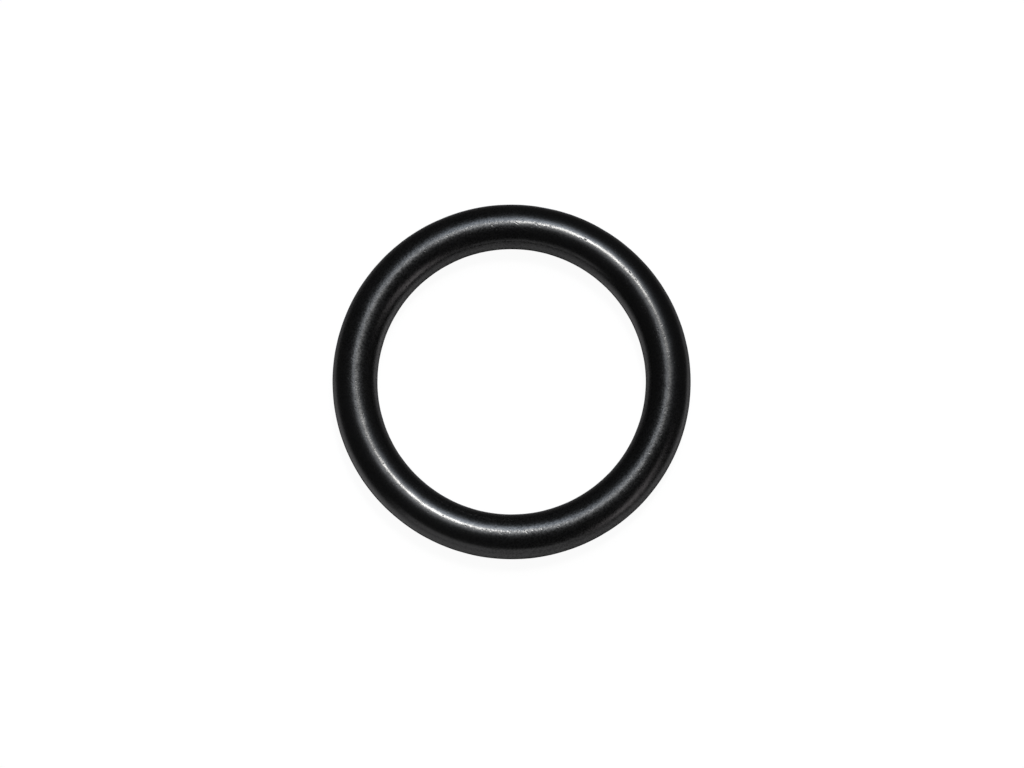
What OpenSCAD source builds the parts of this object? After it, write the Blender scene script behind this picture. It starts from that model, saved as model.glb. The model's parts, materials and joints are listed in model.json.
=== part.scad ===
// Moulded rubber o-ring, lying flat
// The origin is the centre of the ring, on the plane where the two mould halves met, and +Z is the ring's axis.
// All sizes are in millimetres.

/* [Ring] */
// Inside diameter, at the innermost points of the round section
inner_d = 18; // [6:0.5:60]
// Thickness of the round section
section_d = 3; // [1.5:0.1:6]

/* [Parting witness] */
// How far the trimmed moulding flash stands out of the section, inside and outside
witness_height = 0.03; // [0.01:0.01:0.1]
// Width of the trimmed flash, along the ring's axis
witness_width = 0.12; // [0.05:0.01:0.3]

/* [Hidden] */
$fn = 180;

// Radius of the circle that the middle of the section follows
centre_r = (inner_d + section_d) / 2;
// From the inner witness face to the outer one
witness_span = section_d + 2 * witness_height;

// The true section: a full round, with the short flat land that trimming leaves on both sides of it
module ring_section() {
    circle(d = section_d);
    square([witness_span, witness_width], center = true);
}

// The whole ring is one moulding: its section turned once about the axis
module o_ring() {
    color([0.07, 0.07, 0.075])
        rotate_extrude()
            translate([centre_r, 0])
                ring_section();
}

o_ring();
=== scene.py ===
import json
import math

import bmesh
import bpy
from mathutils import Matrix, Vector

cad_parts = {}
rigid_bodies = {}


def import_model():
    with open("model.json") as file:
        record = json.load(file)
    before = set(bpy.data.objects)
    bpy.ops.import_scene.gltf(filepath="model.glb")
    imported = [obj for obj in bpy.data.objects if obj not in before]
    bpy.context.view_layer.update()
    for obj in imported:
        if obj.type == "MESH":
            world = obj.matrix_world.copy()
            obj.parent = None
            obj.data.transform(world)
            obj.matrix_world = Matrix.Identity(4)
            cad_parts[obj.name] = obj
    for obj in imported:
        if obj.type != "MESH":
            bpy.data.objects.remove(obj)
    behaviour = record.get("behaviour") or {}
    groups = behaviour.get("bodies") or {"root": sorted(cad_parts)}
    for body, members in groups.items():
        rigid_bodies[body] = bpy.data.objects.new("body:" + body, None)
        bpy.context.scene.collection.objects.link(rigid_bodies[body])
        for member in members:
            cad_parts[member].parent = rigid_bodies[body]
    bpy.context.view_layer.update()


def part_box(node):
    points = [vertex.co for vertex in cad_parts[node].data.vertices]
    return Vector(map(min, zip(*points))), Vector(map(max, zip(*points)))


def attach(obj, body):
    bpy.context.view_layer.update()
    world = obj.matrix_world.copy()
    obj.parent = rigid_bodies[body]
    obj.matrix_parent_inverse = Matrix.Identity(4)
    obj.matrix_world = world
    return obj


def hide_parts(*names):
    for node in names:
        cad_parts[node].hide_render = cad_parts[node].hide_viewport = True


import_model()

# Everything is in metres, and angles are in degrees until they are used.
MM = 0.001

# Sizes of the ring, from its own box
ring_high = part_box("o_ring")[1]
LAND_PROUD = 0.03 * MM
LAND_WIDTH = 0.12 * MM
LAND_FOOT = 0.008 * MM
SECTION_R = ring_high.z
CENTRE_R = ring_high.x - LAND_PROUD - SECTION_R
# The skin's waves swell and sink about a circle this much smaller, and so stay inside the true section
SKIN_RELIEF = 0.015 * MM
SKIN_R = SECTION_R - SKIN_RELIEF

# How finely the ring is turned: points round its section, with an edge on each side of the parting plane,
# and steps round its axis
SECTION_POINTS = 102
TURN_STEPS = 720
MERGE_DISTANCE = 0.001 * MM
SMOOTH_UP_TO = 50

# Waves of the moulded skin: how long they are, and how far they swell and sink
SKIN_WAVES = (
    ("long_waves", 2.6 * MM, 0.022 * MM),
    ("short_waves", 0.9 * MM, 0.012 * MM),
)

# Small nicks from handling: angle round the ring, angle round the section from its top outwards,
# length, width and depth in millimetres, and turn away from the ring's own direction
NICKS = (
    (88.2, 1.6, 0.28, 0.088, 0.008, -34),
    (85.9, 11.5, 0.20, 0.079, 0.007, -44),
    (81.1, 4.0, 0.24, 0.097, 0.009, -29),
    (75.9, 6.1, 0.07, 0.079, 0.008, 14),
    (92.8, -15.1, 0.33, 0.070, 0.005, -22),
    (90.6, -16.2, 0.35, 0.070, 0.005, 13),
    (97.0, -3.3, 0.09, 0.079, 0.008, -43),
    (84.7, -13.7, 0.14, 0.070, 0.007, -26),
    (72.9, -14.5, 0.15, 0.070, 0.008, -28),
    (62.5, 4.8, 0.09, 0.088, 0.009, -14),
    (38.6, 7.2, 0.12, 0.070, 0.007, 6),
    (42.0, 8.5, 0.11, 0.079, 0.008, 11),
    (264.0, -18.4, 0.18, 0.070, 0.006, 58),
    (269.4, -14.9, 0.15, 0.079, 0.006, -40),
    (262.3, -3.4, 0.10, 0.079, 0.005, -33),
    (265.8, -1.0, 0.18, 0.070, 0.006, -45),
    (266.6, -1.4, 0.18, 0.070, 0.006, 51),
    (269.6, -3.9, 0.09, 0.097, 0.007, 0),
    (272.9, -5.9, 0.14, 0.070, 0.006, 56),
    (275.6, -2.0, 0.08, 0.079, 0.005, -33),
    (299.6, -4.0, 0.18, 0.070, 0.007, 5),
    (162.5, 5.3, 0.10, 0.079, 0.004, 64),
    (166.2, 2.7, 0.09, 0.070, 0.004, 53),
    (168.7, 3.8, 0.10, 0.070, 0.004, 56),
    (172.7, 4.4, 0.06, 0.088, 0.004, -83),
    (175.3, -5.1, 0.20, 0.070, 0.004, 49),
    (183.3, 1.2, 0.12, 0.079, 0.003, 29),
    (179.8, 16.6, 0.18, 0.070, 0.007, 39),
)
# Shares of a nick's width: the strip along its line that sinks whole, and how far its sides run out
# from that strip
NICK_BED = 0.22
NICK_SIDES = 0.42

# The rubber: its sheen, and how fine its bloom, grain and pits are
RUBBER_IOR = 1.5
COAT_ROUGHNESS = 0.34
CLOUDS_PER_METRE = 420.0
GRAINS_PER_METRE = 7000.0
PITS_PER_METRE = 3900.0
PITTED_SHARE = 0.5
# Across the ring, through the two sides that were handled most. Along this line the grain is whole up to one
# distance from the middle, and has worn down to its flat share at the other.
HANDLED_LINE = (0.77, 0.64, 0.0)
GRAIN_WHOLE_TO = 6 * MM
GRAIN_FLAT_FROM = 9.8 * MM
FLAT_GRAIN = 0.4

# The floor, which adds the grey that it scatters to its own glow and so reaches white
FLOOR_HALF = 2.0
FLOOR_GREY = 0.11
WHITE_GLOW = 0.948

# Camera: far above with a long lens, leaning a little from straight above towards -Y
LEAN = 8.4
CAMERA_FAR = 1.2
SENSOR_WIDTH = 36 * MM
PICTURE_WIDTH_PX = 1024
PICTURE_HEIGHT_PX = 768
CENTRE_LINE_RADIUS_PX = 156.63
RING_CENTRE_PX = (511.6, 381.67)


def select_none():
    """Deselects every object, because an operator works on all that is selected."""
    for thing in bpy.context.view_layer.objects.selected:
        thing.select_set(False)


def pick(piece, kind, wanted):
    """In edit mode, selects only the shown vertices or faces whose middle passes the test."""
    bpy.ops.mesh.select_mode(type=kind)
    bpy.ops.mesh.select_all(action="DESELECT")
    mesh = bmesh.from_edit_mesh(piece.data)
    if kind == "VERT":
        for vertex in mesh.verts:
            vertex.select = not vertex.hide and wanted(vertex.co)
    else:
        for face in mesh.faces:
            face.select = not face.hide and wanted(face.calc_center_median())
    mesh.select_flush_mode()
    bmesh.update_edit_mesh(piece.data)


def on_section(round_ring, round_section):
    """A point of the skin and its outward direction, from the two angles."""
    turn = math.radians(round_ring)
    tip = math.radians(round_section)
    out = Vector((math.cos(turn), math.sin(turn), 0))
    facing = out * math.sin(tip) + Vector((0, 0, math.cos(tip)))
    return out * CENTRE_R + facing * SKIN_R, facing


def round_section():
    """The section's outline, standing in the XZ plane, with the trimmed land on its inside and outside."""
    bpy.ops.mesh.primitive_circle_add(
        vertices=SECTION_POINTS,
        radius=SKIN_R,
        location=(CENTRE_R, 0, 0),
        rotation=(math.radians(90), 0, 0),
    )
    ring = bpy.context.object
    bpy.ops.object.transform_apply(location=True, rotation=True, scale=True)
    bpy.ops.object.mode_set(mode="EDIT")
    half_edge = SKIN_R * math.sin(math.pi / SECTION_POINTS)
    foot = LAND_WIDTH / 2 + LAND_FOOT
    for side in (1, -1):
        # The edge across the parting plane is set to the land's two feet and cut in three
        pick(ring, "VERT", lambda p: side * (p.x - CENTRE_R) > 0 and abs(p.z) < 1.5 * half_edge)
        bpy.ops.transform.resize(value=(1, 1, foot / half_edge))
        bpy.ops.mesh.subdivide(number_cuts=2)
        # Its two inner points lie at a third of the feet, and become the land's own edges
        pick(ring, "VERT", lambda p: side * (p.x - CENTRE_R) > 0 and abs(p.z) < 0.6 * foot)
        bpy.ops.transform.resize(value=(1, 1, 1.5 * LAND_WIDTH / foot))
        bpy.ops.transform.translate(value=(side * LAND_PROUD, 0, 0))
    return ring


def moulded_ring():
    """The whole ring: its section turned once about the axis, closed, and waved as a moulded skin is."""
    ring = round_section()
    bpy.ops.mesh.select_all(action="SELECT")
    bpy.ops.mesh.spin(steps=TURN_STEPS, angle=math.tau, center=(0, 0, 0), axis=(0, 0, 1))
    bpy.ops.mesh.select_all(action="SELECT")
    bpy.ops.mesh.remove_doubles(threshold=MERGE_DISTANCE)
    bpy.ops.mesh.normals_make_consistent(inside=False)
    bpy.ops.object.mode_set(mode="OBJECT")
    for name, length, swing in SKIN_WAVES:
        waves = bpy.data.textures.new(name, "CLOUDS")
        waves.noise_scale = length
        waves.noise_depth = 1
        modifier = ring.modifiers.new(name, "DISPLACE")
        modifier.texture = waves
        modifier.texture_coords = "LOCAL"
        modifier.strength = swing
        modifier.mid_level = 0.5
        bpy.ops.object.modifier_apply(modifier=name)
    return ring


def press_nicks(ring):
    """Cuts the skin finer round each nick, and then presses the nick in along its line."""
    places = []
    for round_ring, round_tube, length, width, depth, turn in NICKS:
        middle, facing = on_section(round_ring, round_tube)
        along = Vector((-math.sin(math.radians(round_ring)), math.cos(math.radians(round_ring)), 0))
        line = Matrix.Rotation(math.radians(turn), 3, facing) @ along
        places.append((middle, facing, line, length * MM, width * MM, depth * MM))
    bpy.ops.object.mode_set(mode="EDIT")
    pick(
        ring,
        "FACE",
        lambda p: any((p - middle).length < length / 2 + width for middle, _, _, length, width, _ in places),
    )
    bpy.ops.mesh.subdivide(number_cuts=3)
    bpy.ops.mesh.hide(unselected=True)
    for middle, facing, line, length, width, depth in places:

        def in_groove(p):
            run = max(-length / 2, min(length / 2, (p - middle).dot(line)))
            return (p - middle - line * run).length < width * NICK_BED

        pick(ring, "VERT", in_groove)
        bpy.ops.transform.translate(
            value=-facing * depth,
            use_proportional_edit=True,
            proportional_edit_falloff="SMOOTH",
            proportional_size=width * NICK_SIDES,
        )
    bpy.ops.mesh.reveal(select=False)
    bpy.ops.object.mode_set(mode="OBJECT")


def node(tree, kind, values=None, **settings):
    """Adds a shader node with its settings and the values of its input sockets."""
    made = tree.nodes.new(kind)
    for name, value in settings.items():
        setattr(made, name, value)
    for name, value in (values or {}).items():
        made.inputs[name].default_value = value
    return made


def work_out(tree, operation, *terms):
    """The result of one operation on sockets and plain numbers."""
    made = node(tree, "ShaderNodeMath", operation=operation)
    for socket, term in zip(made.inputs, terms):
        if isinstance(term, (int, float)):
            socket.default_value = term
        else:
            tree.links.new(term, socket)
    return made.outputs["Value"]


def ramp(tree, value, low, high, bottom=0.0, top=1.0, shape="LINEAR"):
    """Goes from bottom to top as the value goes from low to high, and no further."""
    limits = {"From Min": low, "From Max": high, "To Min": bottom, "To Max": top}
    made = node(tree, "ShaderNodeMapRange", limits, interpolation_type=shape)
    tree.links.new(value, made.inputs["Value"])
    return made.outputs["Result"]


def far_along(tree, place, direction):
    """How far a place lies along a direction."""
    made = node(tree, "ShaderNodeVectorMath", {1: direction}, operation="DOT_PRODUCT")
    tree.links.new(place, made.inputs[0])
    return made.outputs["Value"]


def grain_group():
    """Fine moulded grain with scattered pits, as a height from 0 to 1 in each of two outputs."""
    group = bpy.data.node_groups.new("moulded grain", "ShaderNodeTree")
    sockets = group.interface
    sockets.new_socket("Place", in_out="INPUT", socket_type="NodeSocketVector")
    sockets.new_socket("Grains per metre", in_out="INPUT", socket_type="NodeSocketFloat")
    sockets.new_socket("Pits per metre", in_out="INPUT", socket_type="NodeSocketFloat")
    sockets.new_socket("Share with pits", in_out="INPUT", socket_type="NodeSocketFloat")
    sockets.new_socket("Grain", in_out="OUTPUT", socket_type="NodeSocketFloat")
    sockets.new_socket("Pits", in_out="OUTPUT", socket_type="NodeSocketFloat")
    begin = node(group, "NodeGroupInput")
    end = node(group, "NodeGroupOutput")
    link = group.links.new
    grain = node(group, "ShaderNodeTexNoise", {"Detail": 1.0, "Roughness": 0.5})
    link(begin.outputs["Place"], grain.inputs["Vector"])
    link(begin.outputs["Grains per metre"], grain.inputs["Scale"])
    link(grain.outputs["Fac"], end.inputs["Grain"])
    cells = node(group, "ShaderNodeTexVoronoi", feature="F1")
    link(begin.outputs["Place"], cells.inputs["Vector"])
    link(begin.outputs["Pits per metre"], cells.inputs["Scale"])
    bowl = ramp(group, cells.outputs["Distance"], 0.0, 0.3, shape="SMOOTHSTEP")
    # Each cell has a colour of its own, whose red says whether the cell has a pit
    parts = node(group, "ShaderNodeSeparateColor")
    link(cells.outputs["Color"], parts.inputs["Color"])
    smooth_cell = work_out(group, "GREATER_THAN", parts.outputs["Red"], begin.outputs["Share with pits"])
    link(work_out(group, "MAXIMUM", bowl, smooth_cell), end.inputs["Pits"])
    return group


def bloom_group():
    """Faint cloudy bloom on the rubber: a mask from 0, bare, to 1, hazed."""
    group = bpy.data.node_groups.new("rubber bloom", "ShaderNodeTree")
    sockets = group.interface
    sockets.new_socket("Place", in_out="INPUT", socket_type="NodeSocketVector")
    sockets.new_socket("Clouds per metre", in_out="INPUT", socket_type="NodeSocketFloat")
    sockets.new_socket("Haze", in_out="OUTPUT", socket_type="NodeSocketFloat")
    begin = node(group, "NodeGroupInput")
    end = node(group, "NodeGroupOutput")
    link = group.links.new
    clouds = node(group, "ShaderNodeTexNoise", {"Detail": 4.0, "Roughness": 0.6, "Distortion": 0.4})
    link(begin.outputs["Place"], clouds.inputs["Vector"])
    link(begin.outputs["Clouds per metre"], clouds.inputs["Scale"])
    link(ramp(group, clouds.outputs["Fac"], 0.42, 0.72, shape="SMOOTHSTEP"), end.inputs["Haze"])
    return group


GRAIN = grain_group()
BLOOM = bloom_group()


def rubber(name, bare, hazed, roughness, coat, grain_depth, pit_depth):
    """Black moulded rubber: a fine-grained, pitted and faintly bloomed skin in a soft, wide sheen."""
    material = bpy.data.materials.new(name)
    material.use_nodes = True
    tree = material.node_tree
    link = tree.links.new
    surface = tree.nodes["Principled BSDF"]
    place = node(tree, "ShaderNodeTexCoord").outputs["Object"]
    surface.inputs["IOR"].default_value = RUBBER_IOR
    surface.inputs["Specular IOR Level"].default_value = 0.5
    surface.inputs["Coat Roughness"].default_value = COAT_ROUGHNESS
    surface.inputs["Coat IOR"].default_value = RUBBER_IOR

    bloom = node(tree, "ShaderNodeGroup", {"Clouds per metre": CLOUDS_PER_METRE}, node_tree=BLOOM)
    link(place, bloom.inputs["Place"])
    haze = bloom.outputs["Haze"]
    colour = node(tree, "ShaderNodeMix", {"A": (*bare, 1.0), "B": (*hazed, 1.0)}, data_type="RGBA")
    link(haze, colour.inputs["Factor"])
    link(colour.outputs["Result"], surface.inputs["Base Color"])
    sheen = ramp(tree, haze, 0.0, 1.0, roughness - 0.015, roughness + 0.03)

    fineness = {
        "Grains per metre": GRAINS_PER_METRE,
        "Pits per metre": PITS_PER_METRE,
        "Share with pits": PITTED_SHARE,
    }
    relief = node(tree, "ShaderNodeGroup", fineness, node_tree=GRAIN)
    link(place, relief.inputs["Place"])
    grain = relief.outputs["Grain"]
    pits = relief.outputs["Pits"]
    # The grain is flatter where the skin was handled most, and one end of that line is polished best
    held = far_along(tree, place, HANDLED_LINE)
    flat = ramp(tree, work_out(tree, "ABSOLUTE", held), GRAIN_WHOLE_TO, GRAIN_FLAT_FROM, 1.0, FLAT_GRAIN)
    polish = ramp(tree, held, -9 * MM, 9 * MM, 1.0, 0.75)
    grain_bump = node(tree, "ShaderNodeBump", {"Strength": 1.0, "Distance": grain_depth})
    link(work_out(tree, "MULTIPLY", grain, flat), grain_bump.inputs["Height"])
    pit_bump = node(tree, "ShaderNodeBump", {"Strength": 1.0, "Distance": pit_depth})
    link(pits, pit_bump.inputs["Height"])
    link(grain_bump.outputs["Normal"], pit_bump.inputs["Normal"])
    link(pit_bump.outputs["Normal"], surface.inputs["Normal"])

    # Pits are dull, and the grain's hollows are less polished than its tops
    dull = ramp(tree, pits, 0.0, 1.0, 0.3, 0.0)
    link(work_out(tree, "ADD", sheen, dull), surface.inputs["Roughness"])
    hollows = ramp(tree, grain, 0.38, 0.58, 0.75, 0.0)
    tops = ramp(tree, work_out(tree, "MULTIPLY", hollows, flat), 0.0, 1.0, coat, 0.0)
    worn = ramp(tree, pits, 0.0, 1.0, 0.05, 1.0)
    whole = work_out(tree, "MULTIPLY", tops, worn)
    link(work_out(tree, "MULTIPLY", whole, polish), surface.inputs["Coat Weight"])
    return material


def finish_ring(ring):
    """Gives the skin and the trimmed land their rubber, and smooths the shading."""
    skin = rubber(
        "moulded black rubber",
        bare=(0.0018, 0.0018, 0.0019),
        hazed=(0.0028, 0.0028, 0.0030),
        roughness=0.188,
        coat=1.0,
        grain_depth=0.0070 * MM,
        pit_depth=0.006 * MM,
    )
    land = rubber(
        "trimmed black rubber",
        bare=(0.0060, 0.0060, 0.0062),
        hazed=(0.0080, 0.0080, 0.0083),
        roughness=0.45,
        coat=0.4,
        grain_depth=0.02 * MM,
        pit_depth=0.006 * MM,
    )
    ring.data.materials.append(skin)
    ring.data.materials.append(land)
    bpy.ops.object.mode_set(mode="EDIT")
    pick(
        ring,
        "FACE",
        lambda p: abs(p.z) < LAND_WIDTH / 2 + LAND_FOOT
        and abs(math.hypot(p.x, p.y) - CENTRE_R) > SKIN_R + LAND_PROUD / 4,
    )
    ring.active_material_index = 1
    bpy.ops.object.material_slot_assign()
    bpy.ops.object.mode_set(mode="OBJECT")
    bpy.ops.object.shade_smooth_by_angle(angle=math.radians(SMOOTH_UP_TO))


def towards(azimuth, elevation):
    """The direction at an angle round from +X towards +Y, and an angle above the floor."""
    round_z = math.radians(azimuth)
    up = math.radians(elevation)
    return Vector((math.cos(round_z) * math.cos(up), math.sin(round_z) * math.cos(up), math.sin(up)))


def key_lamp(azimuth, elevation, far, across, radiance, colour):
    """One compact round lamp that faces the ring from afar, by how bright its face is."""
    light = bpy.data.lights.new("key", "AREA")
    light.shape = "DISK"
    light.size = across
    light.color = colour
    light.energy = radiance * math.pi * (math.pi / 4 * across * across)
    lamp = bpy.data.objects.new("key", light)
    bpy.context.scene.collection.objects.link(lamp)
    way = towards(azimuth, elevation)
    lamp.location = way * far
    lamp.rotation_euler = way.to_track_quat("Z", "Y").to_euler()
    lamp.visible_camera = False


def pale_floor(level):
    """A pale floor that the camera sees as white, with the ring's soft shadow on it."""
    select_none()
    bpy.ops.mesh.primitive_plane_add(size=2 * FLOOR_HALF, location=(0, 0, level))
    floor = bpy.context.object
    floor.name = "floor"
    bpy.ops.object.transform_apply(location=True, rotation=True, scale=True)
    material = bpy.data.materials.new("pale floor")
    material.use_nodes = True
    tree = material.node_tree
    tree.nodes.clear()
    link = tree.links.new
    end = node(tree, "ShaderNodeOutputMaterial")
    both = node(tree, "ShaderNodeAddShader")
    matt = node(tree, "ShaderNodeBsdfDiffuse", {"Color": (FLOOR_GREY, FLOOR_GREY, FLOOR_GREY, 1.0)})
    rays = node(tree, "ShaderNodeLightPath")
    glow = node(tree, "ShaderNodeEmission")
    link(work_out(tree, "MULTIPLY", rays.outputs["Is Camera Ray"], WHITE_GLOW), glow.inputs["Strength"])
    link(matt.outputs["BSDF"], both.inputs[0])
    link(glow.outputs["Emission"], both.inputs[1])
    link(both.outputs["Shader"], end.inputs["Surface"])
    floor.data.materials.append(material)
    # Reflections take the table's light from the room, which holds it by direction
    floor.visible_glossy = False


def dim_room():
    """A dim room, by direction: a cool glow and a narrow strip above, a soft panel in front, a warm lamp low
    on one side, and the table's light from below. The camera sees plain white past the floor's edge."""
    world = bpy.data.worlds.new("room")
    bpy.context.scene.world = world
    world.use_nodes = True
    tree = world.node_tree
    tree.nodes.clear()
    link = tree.links.new
    way = node(tree, "ShaderNodeTexCoord").outputs["Generated"]
    split = node(tree, "ShaderNodeSeparateXYZ")
    link(way, split.inputs["Vector"])
    north = split.outputs["Y"]
    up = split.outputs["Z"]

    def work(operation, *terms):
        return work_out(tree, operation, *terms)

    def along(direction):
        return far_along(tree, way, direction)

    def rise(value, low, high, bottom=0.0, top=1.0):
        return ramp(tree, value, low, high, bottom, top, "SMOOTHSTEP")

    def blob(azimuth, elevation, half_length, half_width, peak, tilt=0.0):
        middle = towards(azimuth, elevation)
        level = Vector((0, 0, 1)).cross(middle).normalized()
        turn = Matrix.Rotation(math.radians(tilt), 3, middle)
        across = work("DIVIDE", along(turn @ level), half_length)
        above = work("DIVIDE", along(turn @ middle.cross(level)), half_width)
        spread = work("ADD", work("MULTIPLY", across, across), work("MULTIPLY", above, above))
        soft = work("EXPONENT", work("MULTIPLY", spread, -1.0))
        return work("MULTIPLY", work("MULTIPLY", soft, rise(along(middle), 0.0, 0.3)), peak)

    def coloured(colour, strength):
        made = node(tree, "ShaderNodeVectorMath", {0: colour}, operation="SCALE")
        link(strength, made.inputs["Scale"])
        return made.outputs["Vector"]

    # The lamps: a wide cool glow, a narrow strip nearly overhead, and a warm lamp low in front on the right
    glow = blob(82.0, 60.0, 0.24, 0.21, 4.8)
    strip = blob(124.0, 75.0, 0.105, 0.18, 3.1)
    warm = work(
        "ADD",
        blob(-41.5, 10.8, 0.2, 0.2, 1.15),
        blob(-27.0, 24.0, 0.17, 0.12, 0.6, tilt=50.0),
    )

    # The panel in front, which fades out past its two sides and its upper and lower ends
    sides = work(
        "MULTIPLY",
        rise(along(towards(-44.0, 0.0)), -0.12, 0.1),
        rise(along(towards(210.0, 0.0)), -0.35, 0.3),
    )
    ends = work(
        "MULTIPLY",
        rise(along((0.12, 0.0, 1.0)), 0.32, 0.08),
        rise(up, -0.45, -0.05),
    )
    panel = work("MULTIPLY", work("MULTIPLY", sides, ends), 0.48)

    # The table's light: brighter in front than behind, weaker straight below, and with two soft patches
    below = rise(work("ADD", work("MULTIPLY", up, -1.0), work("MULTIPLY", north, -0.3)), 0.2, 0.65)
    near = work("MULTIPLY", rise(north, -0.1, 0.7, 0.32, 0.11), rise(up, -0.88, -0.52, 0.35, 1.0))
    patches = work(
        "ADD",
        blob(205.0, -52.0, 0.28, 0.28, 0.17),
        blob(-5.0, -38.0, 0.35, 0.3, 0.1),
    )
    table = work("ADD", work("MULTIPLY", below, near), patches)

    parts = (
        coloured((0.883, 0.985, 1.132), glow),
        coloured((0.955, 0.995, 1.05), strip),
        coloured((1.07, 1.0, 1.02), warm),
        coloured((1.0, 0.99, 1.01), work("ADD", work("SMOOTH_MAX", panel, table, 0.2), 0.004)),
    )
    total = parts[0]
    for part in parts[1:]:
        added = node(tree, "ShaderNodeVectorMath", operation="ADD")
        link(total, added.inputs[0])
        link(part, added.inputs[1])
        total = added.outputs["Vector"]
    room = node(tree, "ShaderNodeBackground", {"Strength": 1.0})
    link(total, room.inputs["Color"])
    white = node(tree, "ShaderNodeBackground", {"Color": (0.99, 0.99, 0.99, 1.0), "Strength": 1.0})
    rays = node(tree, "ShaderNodeLightPath")
    either = node(tree, "ShaderNodeMixShader")
    link(rays.outputs["Is Camera Ray"], either.inputs["Fac"])
    link(room.outputs["Background"], either.inputs[1])
    link(white.outputs["Background"], either.inputs[2])
    end = node(tree, "ShaderNodeOutputWorld")
    link(either.outputs["Shader"], end.inputs["Surface"])


def long_camera():
    """The photograph's view: the ring's centre line and middle fall on their own pixels."""
    metres_per_px = CENTRE_R / CENTRE_LINE_RADIUS_PX
    lean = math.radians(LEAN)
    to_camera = Vector((0, -math.sin(lean), math.cos(lean)))
    picture_up = Vector((0, math.cos(lean), math.sin(lean)))
    aim = Vector((PICTURE_WIDTH_PX / 2 - RING_CENTRE_PX[0], 0, 0)) * metres_per_px
    aim += picture_up * (RING_CENTRE_PX[1] - PICTURE_HEIGHT_PX / 2) * metres_per_px
    data = bpy.data.cameras.new("long lens")
    data.sensor_width = SENSOR_WIDTH / MM
    data.lens = data.sensor_width * CAMERA_FAR / (PICTURE_WIDTH_PX * metres_per_px)
    data.clip_start = 0.01
    data.clip_end = 10.0
    camera = bpy.data.objects.new("long lens", data)
    bpy.context.scene.collection.objects.link(camera)
    camera.location = aim + to_camera * CAMERA_FAR
    camera.rotation_euler = to_camera.to_track_quat("Z", "Y").to_euler()
    bpy.context.scene.camera = camera


select_none()
ring = moulded_ring()
ring.name = "moulded_ring"
press_nicks(ring)
finish_ring(ring)
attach(ring, "root")
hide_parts("o_ring")

long_camera()
# High behind the ring, and faintly warm
key_lamp(azimuth=71.2, elevation=69.4, far=3.0, across=0.53, radiance=37.0, colour=(1.0, 0.975, 0.93))
dim_room()
pale_floor(min(corner[2] for corner in ring.bound_box))
bpy.context.scene.view_settings.view_transform = "Standard"
